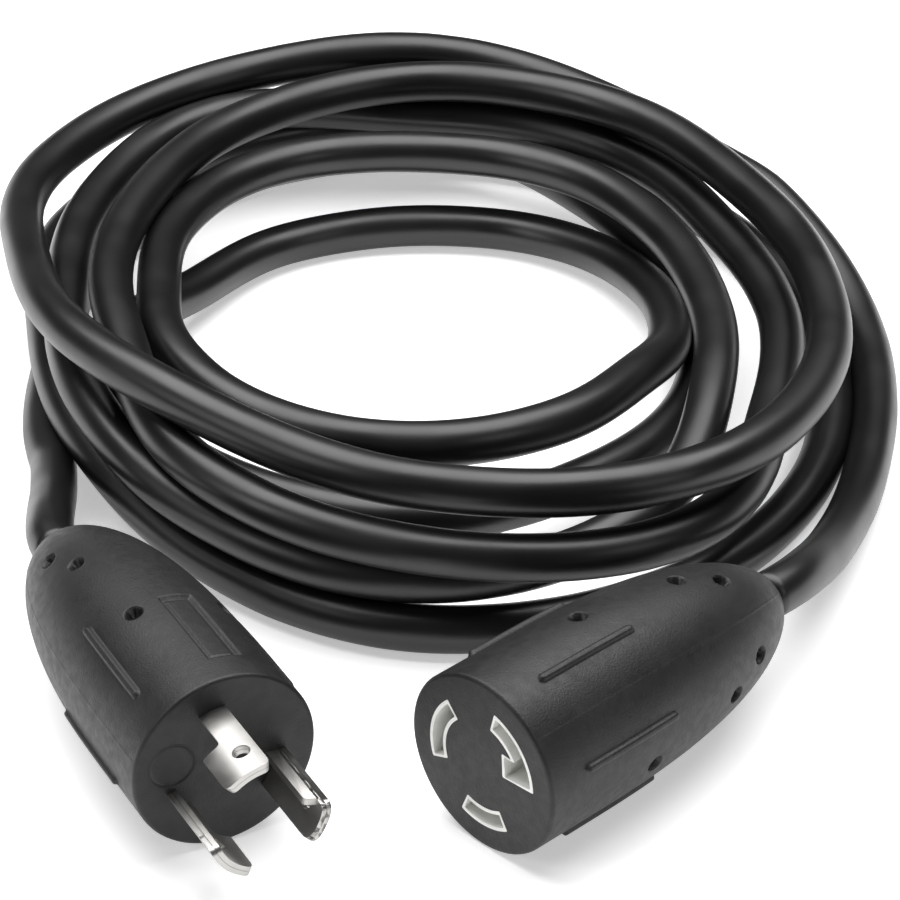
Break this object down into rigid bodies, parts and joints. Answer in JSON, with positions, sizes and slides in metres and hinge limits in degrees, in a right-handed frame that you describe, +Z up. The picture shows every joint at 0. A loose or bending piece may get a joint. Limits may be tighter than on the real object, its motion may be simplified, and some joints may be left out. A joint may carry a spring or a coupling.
{
  "type": "shore power cord",
  "caption": "Coiled black three-core cord with a moulded locking plug on one end and a matching moulded locking connector on the other.",
  "frame": {"origin": "on the ground under the middle of the two end fittings' box; the cord's coil lies behind them", "axes": "+Z up, +X to the right and +Y away from the viewer who looks at both faces; the plug lies on the left with its face turned to the front right, the connector on the right with its face turned to the front left"},
  "size_m": [0.2041, 0.3065, 0.042],
  "materials": {
    "overmould": "satin, fine sandblast grain",
    "blade_carrier": "matte moulded insulator",
    "contact_carrier": "off-white moulded insulator",
    "blade": "bright nickel plate",
    "copper": "bare stranded copper",
    "contact": "formed brass strip",
    "leaf": "spring bronze strip",
    "jacket": "semi-gloss black jacket",
    "core_ground": "green insulation",
    "core_neutral": "white insulation",
    "core_hot": "black insulation"
  },
  "bodies": {
    "cord_set": {"plug_overmould": "overmould", "plug_blade_carrier": "blade_carrier", "plug_blade_ground": "blade", "plug_blade_neutral": "blade", "plug_blade_hot": "blade", "plug_conductor_ground": "copper", "plug_conductor_neutral": "copper", "plug_conductor_hot": "copper", "plug_wire_ground": "core_ground", "plug_wire_neutral": "core_neutral", "plug_wire_hot": "core_hot", "plug_cord_end": "jacket", "connector_overmould": "overmould", "connector_carrier": "contact_carrier", "connector_carrier_cap": "contact_carrier", "connector_contact_ground": "contact", "connector_contact_neutral": "contact", "connector_contact_hot": "contact", "connector_conductor_ground": "copper", "connector_conductor_neutral": "copper", "connector_conductor_hot": "copper", "connector_wire_ground": "core_ground", "connector_wire_neutral": "core_neutral", "connector_wire_hot": "core_hot", "connector_cord_end": "jacket", "cord_plug_lead": "jacket", "cord_coil": "jacket", "cord_connector_lead": "jacket"},
    "leaf_ground": {"connector_leaf_ground": "leaf"},
    "leaf_neutral": {"connector_leaf_neutral": "leaf"},
    "leaf_hot": {"connector_leaf_hot": "leaf"}
  },
  "joints": [
    {"name": "leaf_ground_flex", "type": "hinge", "parent": "cord_set", "child": "leaf_ground", "pos_m": [0.03886, -0.01726, 0.0271], "axis": [-0.4465, 0.4624, 0.766], "range_deg": [0, 3], "stiffness_Nm_per_rad": 1},
    {"name": "leaf_neutral_flex", "type": "hinge", "parent": "cord_set", "child": "leaf_neutral", "pos_m": [0.02525, -0.00318, 0.02676], "axis": [-0.4277, 0.4429, -0.788], "range_deg": [0, 3], "stiffness_Nm_per_rad": 1},
    {"name": "leaf_hot_flex", "type": "hinge", "parent": "cord_set", "child": "leaf_hot", "pos_m": [0.03063, -0.00874, 0.00659], "axis": [0.6841, -0.7084, -0.1736], "range_deg": [0, 3], "stiffness_Nm_per_rad": 1}
  ]
}
